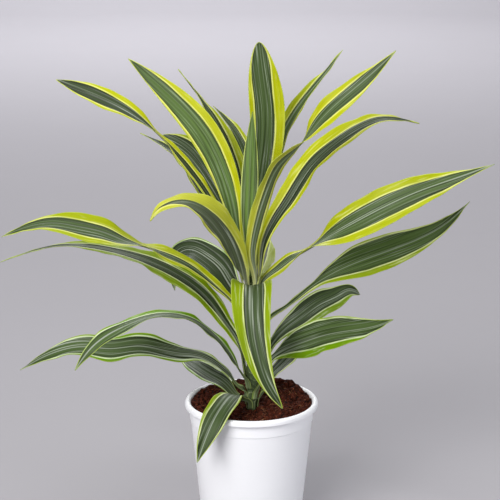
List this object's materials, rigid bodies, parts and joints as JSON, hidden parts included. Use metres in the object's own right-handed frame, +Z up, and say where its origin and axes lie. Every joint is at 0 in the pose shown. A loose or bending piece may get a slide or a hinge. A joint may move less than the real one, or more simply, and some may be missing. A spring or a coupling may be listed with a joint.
{
  "type": "potted lemon lime dracaena",
  "caption": "Potted plant: striped lime, cream and dark green strap leaves in a crown on a short stem, set in soil in a plain tapered pot with a rolled rim.",
  "frame": {"origin": "middle of the flat underside of the pot, on the surface that it stands on", "axes": "+Z up along the pot's axis, -Y towards the front as seen in the picture, +X to the right"},
  "size_m": [0.4716, 0.3188, 0.4716],
  "materials": {
    "pot_plastic": "satin white moulded plastic with a faint cool tint",
    "potting_soil": "loose, moist, dark reddish-brown peat with fibres and crumbs",
    "stem": "green-grey young cane ringed by leaf scars",
    "leaf": "waxy leaf with a dark grey-green streaked middle, thin cream lines and lime to yellow margins"
  },
  "bodies": {
    "root": {"pot": "pot_plastic", "soil": "potting_soil", "stem": "stem", "leaf_top_upright": "leaf", "leaf_top_young": "leaf", "leaf_top_left_edge": "leaf", "leaf_top_back": "leaf", "leaf_upper_right_steep": "leaf", "leaf_upper_right_twisted": "leaf", "leaf_upper_left_broad": "leaf", "leaf_upper_left_long": "leaf", "leaf_upper_left_hidden": "leaf", "leaf_upper_left_middle": "leaf", "leaf_left_curled": "leaf", "leaf_left_arch_upper": "leaf", "leaf_left_arch_narrow": "leaf", "leaf_left_bent_over": "leaf", "leaf_left_thin_arch": "leaf", "leaf_left_long_low": "leaf", "leaf_left_low_back": "leaf", "leaf_right_arching": "leaf", "leaf_right_broad": "leaf", "leaf_right_dark": "leaf", "leaf_right_back_short": "leaf", "leaf_right_front": "leaf", "leaf_right_low_small": "leaf", "leaf_front_drooping": "leaf", "leaf_front_low_drooping": "leaf", "leaf_back_level": "leaf"}
  },
  "joints": []
}
